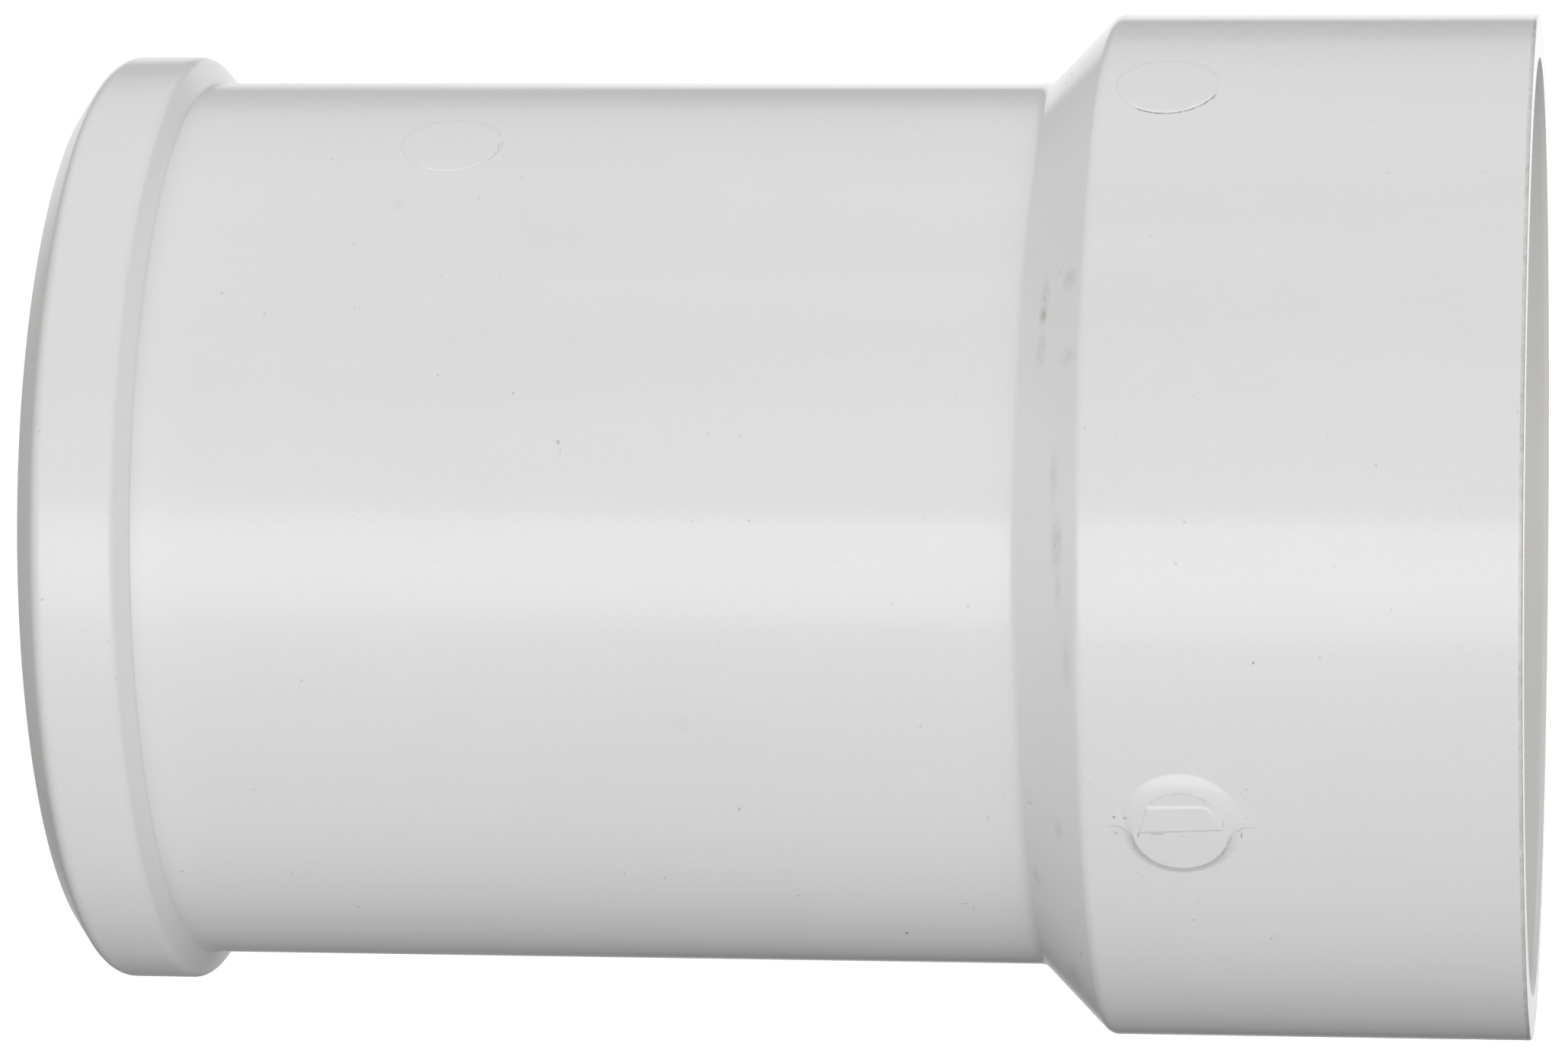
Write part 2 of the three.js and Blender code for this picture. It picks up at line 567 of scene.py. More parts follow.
def gate_relief(arc, rise, gate_lift):
    """The injection gate's trimmed boss, with its tab and its two ears, in millimetres."""
    reach = np.hypot(arc, rise)

    # The boss: convex on its -arc side, and hollow and steeper on its +arc side.
    flat, fall, curve = 4.9, 2.4, 1.6
    lower = ramp(-0.9, 0.9, arc)
    out = np.clip((reach - (flat + 0.75 * lower)) / (fall - 1.0 * lower), 0.0, 1.0)
    boss = gate_lift * ((1.0 - lower) * (1.0 - out**curve) + lower * (1.0 - out) ** curve)

    # The tab: a plate that widens towards its foot, with soft edges.
    tab_length, tab_lift, soft, softer = 3.2, 0.19, 0.1, 0.15
    along = np.clip((arc + tab_length) / tab_length, 0.0, 1.0)
    left = -3.9 - 0.9 * along
    right = 2.8 + 2.2 * np.sqrt(along)
    foot = 0.1 - 0.05 * rise
    tab = ramp(-3.5, -3.05, arc + 0.02 * rise)
    tab = tab * (1.0 - ramp(foot - soft, foot + soft, arc))
    sides = ramp(left - soft, left + softer, rise)
    tab = tab * sides * (1.0 - ramp(right - softer, right + soft, rise))

    # The ears, one to each side of the boss.
    ear_lift = 0.3
    edge = 1.0 * (1.0 - ramp(5.7, 7.4, np.abs(rise)))
    ears = (1.0 - ramp(6.2, 9.4, np.abs(rise))) * ramp(-2.6, -0.2, arc)
    ears = ears * (1.0 - ramp(edge - soft, edge + soft, arc)) * ramp(5.2, 5.9, reach)
    return np.maximum(boss, ear_lift * ears) + tab_lift * tab


def hub_relief(marks):
    """Lift of the hub's outside."""

    def relief(angles, heights):
        arc = nearest_turn(angles, marks.parting_angle) * HUB_RADIUS / MM
        rise = (heights - marks.gate_height) / MM
        return gate_relief(arc, rise, marks.gate_lift / MM) * MM

    return relief


# ---------------------------------------------------------------- outlines


def bead_outline(shape):
    edge = shape.edge_fillet
    return rounded_outline([
        (shape.bead_end_radius, 0.0, edge),
        (BEAD_RADIUS, shape.bead_land_start, shape.chamfer_fillet),
        (BEAD_RADIUS, shape.bead_land_end, shape.shoulder_fillet),
        (BARREL_RADIUS, BEAD_FOOT, 0.2 * MM),
        (BARREL_RADIUS, BEAD_JOINT, 0.0),
        (shape.bore_radius, BEAD_JOINT, 0.0),
        (shape.bore_radius, 0.0, edge),
    ])


def barrel_outline(shape):
    return [
        (BARREL_RADIUS, BEAD_JOINT),
        (BARREL_RADIUS, BARREL_JOINT),
        (shape.bore_radius, BARREL_JOINT),
        (shape.bore_radius, BEAD_JOINT),
    ]


def cone_outline(shape):
    return rounded_outline([
        (BARREL_RADIUS, BARREL_JOINT, 0.0),
        (BARREL_RADIUS, shape.cone_start, shape.cone_foot_fillet),
        (HUB_RADIUS, shape.cone_end, shape.hub_corner_fillet),
        (HUB_RADIUS, CONE_JOINT, 0.0),
        (shape.stop_radius, CONE_JOINT, 0.0),
        (shape.stop_radius, STOP_BOTTOM, 0.0),
        (shape.bore_radius, BARREL_TOP, 0.0),
        (shape.bore_radius, BARREL_JOINT, 0.0),
    ])


def stop_outline(shape):
    return rounded_outline([
        (SOCKET_BOTTOM_RADIUS, CONE_JOINT, 0.0),
        (SOCKET_BOTTOM_RADIUS, STOP_TOP, 0.0),
        (shape.stop_radius, STOP_TOP, shape.edge_fillet),
        (shape.stop_radius, CONE_JOINT, 0.0),
    ])


def hub_outline(shape):
    return rounded_outline([
        (HUB_RADIUS, CONE_JOINT, 0.0),
        (HUB_RADIUS, TOTAL_LENGTH, shape.edge_fillet),
        (shape.lead_in_radius, TOTAL_LENGTH, 0.12 * MM),
        (shape.mouth_radius, TOTAL_LENGTH - shape.lead_in_length, 0.3 * MM),
        (SOCKET_BOTTOM_RADIUS, STOP_TOP, 0.0),
        (SOCKET_BOTTOM_RADIUS, CONE_JOINT, 0.0),
    ])


# ---------------------------------------------------------------- geometry trees


def turned_wall_tree():
    """Turns a closed outline about the flow axis."""
    tree, graph, given = geometry_tree("turned_wall", {"Segments": "Int"})
    profile = graph.add("GeometryNodeMeshToCurve", None, {"Mesh": given["Geometry"]})
    profile = graph.add(
        "GeometryNodeTransform", None,
        {"Geometry": profile, "Translation": (-1.0, 0.0, 0.0), "Scale": (1.0, -1.0, 1.0)},
    )
    path = graph.add(
        "GeometryNodeCurvePrimitiveCircle", {"mode": "RADIUS"},
        {"Resolution": given["Segments"], "Radius": 1.0},
    )
    wall = graph.add(
        "GeometryNodeCurveToMesh", None, {"Curve": path, "Profile Curve": profile}
    )
    wall = graph.add("GeometryNodeFlipFaces", None, {"Mesh": wall})
    bend = graph.add("GeometryNodeInputMeshEdgeAngle")
    sharp = graph.add(
        "FunctionNodeCompare", {"data_type": "FLOAT", "operation": "LESS_THAN"},
        {"A": bend, "B": SHARP_ANGLE},
    )
    wall = graph.add(
        "GeometryNodeSetShadeSmooth", {"domain": "EDGE"},
        {"Geometry": wall, "Shade Smooth": sharp},
    )
    finish_tree(graph, given, wall)
    return tree


def finish_tree(graph, given, geometry):
    """Ends a tree in Realize Instances and Set Material."""
    geometry = graph.add("GeometryNodeRealizeInstances", None, {"Geometry": geometry})
    geometry = graph.add(
        "GeometryNodeSetMaterial", None,
        {"Geometry": geometry, "Material": given["Finish"]},
    )
    graph.add("NodeGroupOutput", None, {"Geometry": geometry}, None)


def parting_flash_tree():
    """Sweeps a thin round bead along the outline and repeats it on the far side."""
    tree, graph, given = geometry_tree(
        "parting_flash", {"Radius": "Float", "Parting Angle": "Float"}
    )
    path = graph.add("GeometryNodeMeshToCurve", None, {"Mesh": given["Geometry"]})
    section = graph.add(
        "GeometryNodeCurvePrimitiveCircle", {"mode": "RADIUS"},
        {"Resolution": 10, "Radius": given["Radius"]},
    )
    line = graph.add(
        "GeometryNodeCurveToMesh", None,
        {"Curve": path, "Profile Curve": section, "Fill Caps": True},
    )
    both = graph.add("GeometryNodeJoinGeometry", output=None)
    for extra in (0.0, math.pi):
        spin = graph.join(0.0, 0.0, given["Parting Angle"] + (extra - math.pi / 2))
        side = graph.add(
            "GeometryNodeTransform", None, {"Geometry": line, "Rotation": spin}
        )
        graph.tree.links.new(side.socket, both.inputs[0])
    joined = Wire(graph, both.outputs[0])
    joined = graph.add(
        "GeometryNodeSetShadeSmooth", {"domain": "FACE"},
        {"Geometry": joined, "Shade Smooth": True},
    )
    finish_tree(graph, given, joined)
    return tree


def rim_burrs_tree():
    """Scatters small flecks along a circle."""
    tree, graph, given = geometry_tree("rim_burrs", {
        "Count": "Int", "Radius": "Float", "Height": "Float", "Fleck Size": "Float",
        "Seed": "Int",
    })

    def random(low, high, offset):
        return graph.add(
            "FunctionNodeRandomValue", {"data_type": "FLOAT"},
            {"Min": low, "Max": high, "Seed": given["Seed"] + offset}, 1,
        )

    turn = random(0.0, 2 * math.pi, 0)
    place = graph.join(
        turn.maths("SINE") * given["Radius"],
        turn.maths("COSINE") * given["Radius"] * -1.0,
        given["Height"] + random(-0.08 * MM, 0.0, 7),
    )
    points = graph.add(
        "GeometryNodePoints", None, {"Count": given["Count"], "Position": place}
    )
    fleck = graph.add(
        "GeometryNodeMeshIcoSphere", None,
        {"Radius": given["Fleck Size"], "Subdivisions": 2},
    )
    stretch = graph.join(random(0.5, 1.6, 13), random(0.4, 0.9, 17), random(0.35, 0.8, 19))
    spun = graph.join(0.0, 0.0, turn + random(-0.5, 0.5, 23))
    flecks = graph.add(
        "GeometryNodeInstanceOnPoints", None,
        {"Points": points, "Instance": fleck, "Rotation": spun, "Scale": stretch},
    )
    finish_tree(graph, given, flecks)
    return tree


# ---------------------------------------------------------------- finishes


# Flecks and smears at given places: height, angle in degrees, half height, half arc and
# strength. Heights and arcs are in millimetres.
FLECKS = {
    "hub_pvc": (
        (147.8, 14.6, 0.16, 0.29, 0.68), (138.9, 4.1, 0.30, 0.26, 0.19),
        (148.9, 50.8, 0.22, 0.36, 0.30), (139.9, 47.7, 0.14, 0.22, 0.61),
        (140.5, 45.0, 0.10, 0.58, 0.18), (155.5, 14.0, 0.22, 0.19, 0.22),
        (161.9, -6.4, 0.16, 0.22, 0.30), (178.0, -12.2, 0.14, 0.36, 0.20),
        (131.2, 32.8, 0.26, 0.19, 0.57), (132.5, 32.8, 0.45, 0.16, 0.41),
        (131.3, 34.9, 0.32, 0.29, 0.41), (139.3, 34.8, 0.16, 0.13, 0.34),
        (146.0, 35.1, 0.16, 0.54, 0.46), (146.6, 32.8, 0.43, 0.09, 0.22),
        (144.0, 33.1, 0.14, 0.68, 0.24), (134.0, 34.6, 0.14, 0.36, 0.41),
        (136.3, 34.5, 1.08, 0.16, 0.30), (133.5, 36.7, 0.14, 0.18, 0.54),
        (146.1, 29.6, 0.14, 0.14, 0.27), (146.8, 29.2, 0.14, 0.14, 0.27),
        (133.6, 40.4, 0.14, 0.14, 0.27), (141.2, -53.4, 0.12, 0.47, 0.41),
    ),
    "barrel_pvc": (
        (65.2, -9.6, 0.24, 0.30, 0.41), (65.5, -8.6, 0.10, 0.29, 0.24),
        (103.5, 65.9, 0.29, 0.32, 0.80), (91.3, 55.7, 0.40, 0.22, 0.27),
        (85.6, 39.0, 0.20, 0.43, 0.36), (115.3, 39.8, 0.22, 0.32, 0.27),
        (16.2, 52.0, 0.17, 0.26, 0.61), (75.4, 52.0, 0.20, 0.26, 0.41),
        (111.4, 57.0, 0.50, 0.16, 0.27), (112.3, 58.4, 0.12, 0.50, 0.22),
        (50.4, -18.2, 0.17, 0.14, 0.46), (70.6, 51.2, 0.26, 0.36, 0.22),
        (53.0, -44.9, 0.36, 0.13, 0.30), (23.4, -29.4, 0.17, 0.22, 0.38),
        (36.7, 60.2, 0.27, 0.19, 0.34), (57.7, -48.9, 0.17, 0.29, 0.30),
        (39.7, -27.2, 0.14, 0.14, 0.35), (53.5, -19.0, 0.14, 0.19, 0.24),
        (105.4, 58.1, 0.11, 0.29, 0.27), (93.0, 56.6, 0.14, 0.14, 0.34),
        (53.9, -56.1, 0.12, 0.50, 0.30),
    ),
    "cone_pvc": (
        (125.8, 56.7, 0.22, 0.32, 0.41), (120.6, 36.0, 0.43, 0.29, 0.19),
        (122.6, -69.8, 0.17, 0.65, 0.74), (122.1, -67.8, 0.14, 0.36, 0.54),
    ),
}
STAINS = {
    "barrel_pvc": ((43.1, -43.7, 0.62, 0.62, 0.20), (79.6, 26.1, 1.30, 1.10, 0.05)),
    "cone_pvc": (
        (122.4, -24.9, 0.42, 0.95, 0.62), (122.5, -26.9, 0.50, 2.40, 0.24),
        (122.3, -20.6, 0.50, 1.90, 0.24), (125.6, -27.9, 0.70, 1.20, 0.24),
        (125.8, -18.5, 0.70, 0.80, 0.24), (124.4, -5.2, 0.45, 2.60, 0.20),
        (124.8, 2.2, 0.60, 2.60, 0.30), (125.0, 7.2, 0.40, 2.20, 0.18),
        (126.0, 15.4, 0.40, 2.40, 0.18), (124.2, 37.1, 0.40, 1.40, 0.18),
        (120.7, 48.4, 0.45, 1.60, 0.20), (124.3, 65.4, 0.80, 3.00, 0.22),
    ),
}
# Lines on circles: height, angle in degrees, radius, half width, strength, the span of
# arcs and the least height that the line shows at, from the circle's centre.
RINGS = {
    "hub_pvc": (
        (*HUB_MARK, 6.30, 0.17, 0.80, 2.2, 9.0, -3.4),
        (*HUB_MARK, 6.19, 0.08, 0.12, -9.0, 9.0, -9.0),
        # Painted shade with some dirt: the wide dark band below the gate's boss.
        (*GATE, 5.85, 0.30, 0.26, 0.9, 9.0, -9.0),
        (*GATE, 5.05, 0.20, 0.15, -9.0, -3.4, -9.0),
    ),
    "barrel_pvc": (
        (*BARREL_MARK, 6.22, 0.12, 0.34, -0.4, 3.4, 4.3),
        (*BARREL_MARK, 6.19, 0.08, 0.10, -9.0, 9.0, -9.0),
    ),
}
# Painted highlights: pale lines along the lower edge of each insert print, with the columns of
# the lines above.
HIGHLIGHT_RINGS = {
    "hub_pvc": ((*HUB_MARK, 5.98, 0.20, 0.52, 2.4, 9.0, -4.8),),
    "barrel_pvc": ((*BARREL_MARK, 6.05, 0.14, 0.50, 4.0, 9.0, -3.0),),
}


# Specks and scratches: size of a cell in millimetres, and the draw above which it has one.
SPECK_CELL, SPECK_DRAW = 5.0, 0.86
SCRATCH_CELL, SCRATCH_DRAW = 17.0, 0.7
# Half widths and half lengths at which a speck or a scratch starts and is full.
SPECK_EDGE = (0.032, 0.014)
SCRATCH_WIDTH, SCRATCH_LENGTH = (0.055, 0.02), (3.2, 1.2)
SCRATCH_BEND = 0.09
# How far before and past the ends of its span a ring line fades, in millimetres.
FADE_BEFORE, FADE_PAST = 0.4, 0.5
BUMP_DEPTH = 2.4e-6
CONE_WALL_RADIUS = 59 * MM


def pvc(name, finish, wall_radius):
    """The moulded PVC: faint clouding and flow, burnt specks, hair scratches, stains and flecks,
    with painted light on the cone and the bead's shoulder, painted shade on the bead's end
    chamfer, below the gate's boss and along the rim, and painted highlights along the insert
    prints.
    """
    material = bpy.data.materials.new(name)
    graph = empty_graph(material)
    place = graph.add("ShaderNodeTexCoord", output="Object")
    x, y, z = graph.split(place)
    radius = (x * x + y * y).root()
    turn = x.maths("ARCTAN2", -y)
    arc = turn * (wall_radius / MM)
    height = z / MM
    sheet = graph.join(arc, height)

    facing = graph.add("ShaderNodeNewGeometry", output="Normal")
    outward = graph.vector("DOT_PRODUCT", facing, graph.join(x, y), output="Value") / radius
    inside = outward.step(-0.1, -0.5)

    cloud = graph.noise(place, scale=22.0, detail=3.0)
    patch = graph.noise(place, scale=110.0, detail=3.0, roughness=0.6)
    squeezed = graph.vector("MULTIPLY", place, (1.0, 1.0, 1.8))
    smudge = graph.noise(squeezed, scale=520.0, detail=4.0, roughness=0.75)
    grain = graph.noise(place, scale=1100.0)
    crumb = graph.noise(place, scale=3000.0, roughness=0.7)
    flow = graph.noise(graph.vector("MULTIPLY", place, (150.0, 150.0, 14.0)), scale=1.0)
    rings = graph.noise(graph.join(turn * 1.3, radius * 40.0, z * 900.0), scale=1.0)

    def cells(size, randomness):
        """Cells of this size, in millimetres, on the unrolled wall."""
        return graph.add(
            "ShaderNodeTexVoronoi", {"feature": "F1", "voronoi_dimensions": "2D"},
            {"Vector": sheet, "Scale": 1.0 / size, "Randomness": randomness}, None,
        )

    # Burnt specks in the plastic, one to a cell where there is one at all.
    cell = cells(SPECK_CELL, 1.0)
    spot_distance = Wire(graph, cell.outputs["Distance"])
    spot_luck, spot_size, _ = graph.split(Wire(graph, cell.outputs["Color"]))
    specks = (spot_distance / (spot_size * 0.9 + 0.5)).step(*SPECK_EDGE)
    specks = specks * (spot_luck > SPECK_DRAW) * ((spot_luck - SPECK_DRAW) * 2.4 + 0.06)

    # Hair scratches: a short curved line at its own slant in some of the cells.
    patchwork = cells(SCRATCH_CELL, 0.9)
    luck, slant, bend = graph.split(Wire(graph, patchwork.outputs["Color"]))
    middle = Wire(graph, patchwork.outputs["Position"])
    away_x, away_y, _ = graph.split(graph.vector("SUBTRACT", sheet, middle))
    slant = slant * math.pi
    cos, sin = slant.maths("COSINE"), slant.maths("SINE")
    along = away_x * cos + away_y * sin
    across = away_y * cos - away_x * sin + along * along * ((bend - 0.5) * SCRATCH_BEND)
    scratch = abs(across).step(*SCRATCH_WIDTH) * abs(along).step(*SCRATCH_LENGTH)
    scratch = scratch * (luck > SCRATCH_DRAW)

    def marks(table, ragged, amount, outer, inner):
        """Oval marks at given places, made ragged by a noise, full up to the inner reach."""
        total = None
        for centre_height, degrees, half_height, half_arc, strength in table:
            centre_arc = math.radians(degrees) * wall_radius / MM
            local = graph.vector(
                "MULTIPLY_ADD", sheet, (1.0 / half_arc, 1.0 / half_height, 0.0),
                (-centre_arc / half_arc, -centre_height / half_height, 0.0),
            )
            reach = graph.vector("LENGTH", local, output="Value") + ragged * amount
            mark = reach.step(outer, inner, 0.0, strength)
            total = mark if total is None else total.most(mark)
        return total

    def ring_lines(table, broken):
        """Lines that follow circles on the wall, broken up by a noise."""
        total = None
        for centre_height, degrees, size, half_width, strength, *span, rise_from in table:
            centre_arc = math.radians(degrees) * wall_radius / MM
            local = graph.vector("SUBTRACT", sheet, (centre_arc, centre_height, 0.0))
            across_it, up_it, _ = graph.split(local)
            reach = graph.vector("LENGTH", local, output="Value") - size
            line = abs(reach + crumb * half_width)
            line = line.step(half_width, half_width * 0.4, 0.0, strength)
            line = line * across_it.step(span[0] - FADE_BEFORE, span[0] + FADE_PAST)
            line = line * across_it.step(span[1] + FADE_BEFORE, span[1] - FADE_PAST)
            line = line * up_it.step(rise_from - FADE_BEFORE, rise_from + FADE_PAST) * broken
            total = line if total is None else total.most(line)
        return total

    tone = 0.72 + cloud * 0.55 + patch * 0.35 + flow * 0.45 + grain * 0.5
    tint = graph.blend(tone.least(1.0).most(0.0), finish.dull, finish.light)
    # Painted light: the cone and the bead's shoulder, which face downwards, are painted paler.
    if name in ("bead_pvc", "cone_pvc"):
        top_radius = BEAD_RADIUS if name == "bead_pvc" else HUB_RADIUS
        slope = radius.step(BARREL_RADIUS + 0.1 * MM, BARREL_RADIUS + 0.5 * MM)
        slope = slope * radius.step(top_radius - 0.05 * MM, top_radius - 0.4 * MM)
        pale = tuple(min(1.0, part * finish.slope_painted_light) for part in finish.light)
        tint = graph.blend(slope * height.step(5.0, 6.0), tint, pale)
        # Painted shade: the bead's end chamfer, which faces the floor, is painted darker.
        chamfer = radius.step(BEAD_RADIUS - 0.1 * MM, BEAD_RADIUS - 0.9 * MM)
        tint = graph.blend(chamfer * height.step(4.0, 3.0) * 0.15, tint, finish.dirt_and_shade)
    tint = graph.blend(inside * 0.85, tint, finish.bore)
    tint = graph.blend(scratch * 0.10, tint, finish.dirt_and_shade)
    tint = graph.blend(specks * (1.0 - inside), tint, finish.speck_and_shade)
    if name in STAINS:
        film = marks(STAINS[name], smudge, 2.4, 1.8, 0.1)
        film = film * (smudge * 3.0 + crumb * 3.0 + 0.8).most(0.05).least(1.5)
        tint = graph.blend(film, tint, finish.dirt_and_shade)
    # Dark marks in the speck colour: flecks, lines round the prints and the gate, and painted
    # shade below the gate's boss and along the rim's outer edge.
    dust_and_shade = None
    if name in FLECKS:
        dust_and_shade = marks(FLECKS[name], crumb, 2.4, 1.0, 0.5)
    if name in RINGS:
        broken = (smudge * 4.0 + crumb * 2.0 + 0.75).most(0.12).least(1.0)
        dust_and_shade = dust_and_shade.most(ring_lines(RINGS[name], broken))
        # Painted highlight: a pale line along the lower edge of each insert print.
        painted_highlight = ring_lines(HIGHLIGHT_RINGS[name], (smudge * 2.0 + 0.8).most(0.3).least(1.0))
        tint = graph.blend(painted_highlight, tint, finish.painted_highlight)
    # Painted shade: a dark line, broken by a noise, along the outer rounding of the hub's rim.
    if name == "hub_pvc":
        rim = height.step(178.2, 178.42)
        rim = rim * radius.step(HUB_RADIUS - 0.4 * MM, HUB_RADIUS - 0.2 * MM)
        dust_and_shade = dust_and_shade.most(rim * (smudge * 2.0 + 0.5).most(0.15).least(0.8) * 0.5)
    if dust_and_shade is not None:
        tint = graph.blend(dust_and_shade, tint, finish.speck_and_shade)

    gloss = z.step(0.105, 0.02) * finish.bead_roughness + finish.roughness
    if name == "cone_pvc":
        gloss = gloss + finish.cone_roughness
    gloss = gloss + patch * 0.03 + cloud * 0.03 + grain * 0.02 + scratch * 0.12
    gloss = gloss + inside * (finish.inside_roughness - finish.roughness)
    relief = grain * 0.4 + patch * 2.2 + rings * 0.8 - scratch * 3.0
    bump = graph.add(
        "ShaderNodeBump", None,
        {"Strength": 1.0, "Distance": BUMP_DEPTH, "Height": relief}, "Normal",
    )
    shader = graph.add(
        "ShaderNodeBsdfPrincipled", None,
        {"Base Color": tint, "Roughness": gloss, "Normal": bump, "IOR": 1.5}, "BSDF",
    )
    graph.add("ShaderNodeOutputMaterial", None, {"Surface": shader}, None)
    return material


def finish_of(name, finish, wall_radius):
    """The named finish, made the first time it is asked for."""
    return bpy.data.materials.get(name) or pvc(name, finish, wall_radius)


def deliver(piece, node=None):
    """Checks that a finished piece is closed, puts it on the body and hides the node that it
    stands for.
    """
    check_closed(piece)
    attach(piece, "root")
    if node:
        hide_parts(node)


def turned_piece(name, outline, segments, material, node):
    """Turns one plain section of the wall and delivers it."""
    tree = bpy.data.node_groups.get("turned_wall") or turned_wall_tree()
    count = len(outline)
    edges = [(i, (i + 1) % count) for i in range(count)]
    piece = link(name, new_mesh(name, [(r, z, 0.0) for r, z in outline], edges))
    plain_mesh(piece, tree, {"Segments": segments, "Finish": material})
    deliver(piece, node)


# ---------------------------------------------------------------- operators


def settings_of(context):
    scene = context.scene
    return scene.coupling_shape, scene.coupling_marks, scene.coupling_finish


class TurnedSection:
    """Turns the plain section that the operator names: its piece, outline, material, wall
    radius, slot and node. The slot is not used."""

    def execute(self, context):
        piece, outline, material_name, wall_radius, slot, node = self.section
        shape, _, finish = settings_of(context)
        material = finish_of(material_name, finish, wall_radius)
        turned_piece(piece, outline(shape), shape.segments, material, node)
        return {"FINISHED"}


class COUPLING_OT_bead(TurnedSection, bpy.types.Operator):
    """Turn the chamfered bead at the spigot's end"""

    bl_idname = "coupling.bead"
    bl_label = "Bead"
    section = ("bead_ring", bead_outline, "bead_pvc", BEAD_RADIUS,
               "moulded_pvc_bead", "spigot_bead")


class COUPLING_OT_barrel(TurnedSection, bpy.types.Operator):
    """Turn the spigot's barrel"""

    bl_idname = "coupling.barrel"
    bl_label = "Barrel"
    section = ("barrel_wall", barrel_outline, "barrel_pvc", BARREL_RADIUS,
               "moulded_pvc_barrel", "spigot_barrel")


class COUPLING_OT_cone(TurnedSection, bpy.types.Operator):
    """Turn the cone between the spigot and the hub"""

    bl_idname = "coupling.cone"
    bl_label = "Cone"
    section = ("cone_wall", cone_outline, "cone_pvc", CONE_WALL_RADIUS,
               "moulded_pvc_cone", "reducing_cone")


class COUPLING_OT_stop(TurnedSection, bpy.types.Operator):
    """Turn the ledge that the pipe stops against"""

    bl_idname = "coupling.stop"
    bl_label = "Pipe Stop"
    section = ("stop_ledge", stop_outline, "inside_pvc", SOCKET_BOTTOM_RADIUS,
               "moulded_pvc_inside", "socket_stop")


class COUPLING_OT_hub(bpy.types.Operator):
    """Build the bell hub with its injection gate"""

    bl_idname = "coupling.hub"
    bl_label = "Hub"

    def execute(self, context):
        shape, marks, finish = settings_of(context)
        heights = graded(CONE_JOINT, TOTAL_LENGTH, 8 * MM, [GATE_ROWS])
        angles = ring_angles([(marks.parting_angle, *GATE_COLUMNS)])
        outline = with_rows(hub_outline(shape), HUB_RADIUS, heights)
        piece = turned_grid("hub_wall", outline, angles, HUB_RADIUS, hub_relief(marks))
        piece.data.materials.append(finish_of("hub_pvc", finish, HUB_RADIUS))
        deliver(piece, "hub_socket")
        return {"FINISHED"}


class COUPLING_OT_insert_marks(bpy.types.Operator):
    """Lay the round prints of the mould's inserts on the hub and the barrel"""

    bl_idname = "coupling.insert_marks"
    bl_label = "Insert Marks"

    def execute(self, context):
        _, marks, finish = settings_of(context)
        for name, radius, turn, height, material, slot in (
            ("hub_insert_marks", HUB_RADIUS, marks.hub_mark_angle, marks.hub_mark_height,
             "hub_pvc", "moulded_pvc_hub"),
            ("barrel_insert_marks", BARREL_RADIUS, marks.barrel_mark_angle,
             marks.barrel_mark_height, "barrel_pvc", "moulded_pvc_barrel"),
        ):
            piece = insert_prints(name, radius, turn, height, marks)
            piece.data.materials.append(finish_of(material, finish, radius))
            deliver(piece)
        return {"FINISHED"}


class COUPLING_OT_parting_flash(bpy.types.Operator):
    """Lay the thin flash where the mould's halves met"""

    bl_idname = "coupling.parting_flash"
    bl_label = "Parting Flash"

    def execute(self, context):
        shape, marks, finish = settings_of(context)
        sink = marks.flash_sink
        outline = rounded_outline([
            (shape.bead_end_radius - sink, 0.3 * MM, 0.0),
            (BEAD_RADIUS - sink, shape.bead_land_start, shape.chamfer_fillet),
            (BEAD_RADIUS - sink, shape.bead_land_end, shape.shoulder_fillet),
            (BARREL_RADIUS - sink, BEAD_FOOT, 0.2 * MM),
            (BARREL_RADIUS - sink, shape.cone_start, shape.cone_foot_fillet),
            (HUB_RADIUS - sink, shape.cone_end, shape.hub_corner_fillet),
            (HUB_RADIUS - sink, TOTAL_LENGTH - 0.5 * MM, 0.0),
        ])
        edges = [(i, i + 1) for i in range(len(outline) - 1)]
        mesh = new_mesh("parting_flash", [(r, 0.0, z) for r, z in outline], edges)
        piece = link("parting_flash", mesh)
        plain_mesh(piece, parting_flash_tree(), {
            "Radius": marks.flash_radius, "Parting Angle": marks.parting_angle,
            "Finish": finish_of("barrel_pvc", finish, BARREL_RADIUS),
        })
        deliver(piece)
        return {"FINISHED"}


class COUPLING_OT_rim_burrs(bpy.types.Operator):
    """Scatter the flecks that trimming left along the hub's rim"""

    bl_idname = "coupling.rim_burrs"
    bl_label = "Rim Burrs"

    def execute(self, context):
        shape, marks, finish = settings_of(context)
        piece = link("rim_burrs", bpy.data.meshes.new("rim_burrs"))
        plain_mesh(piece, rim_burrs_tree(), {
            "Count": marks.burr_count,
            "Radius": HUB_RADIUS - 0.5 * shape.edge_fillet,
            "Height": TOTAL_LENGTH - 0.1 * MM,
            "Fleck Size": marks.burr_size,
            "Seed": marks.seed,
            "Finish": finish_of("hub_pvc", finish, HUB_RADIUS),
        })
        deliver(piece)
        return {"FINISHED"}


# Light round the fitting by direction, in degrees about the flow axis.
AZIMUTH_LIGHT = [
    (-180, 1.15), (-172, 1.12), (-163, 1.08), (-160, 1.06), (-157, 0.28), (-150, 0.35),
    (-141, 0.41), (-138, 0.71), (-120, 1.13), (-95, 1.22), (-68, 0.50), (-65, 1.00),
    (-62, 0.66), (-48, 0.20), (-25, 0.56), (-5, 0.66), (-2, 0.95), (1, 2.66), (6, 2.52),
    (13, 2.76), (20, 2.16), (24, 1.90), (28, 0.74), (31, 0.73), (42, 0.31), (60, 0.17),
    (90, 0.46), (130, 0.06), (165, 0.06), (180, 1.15),
]
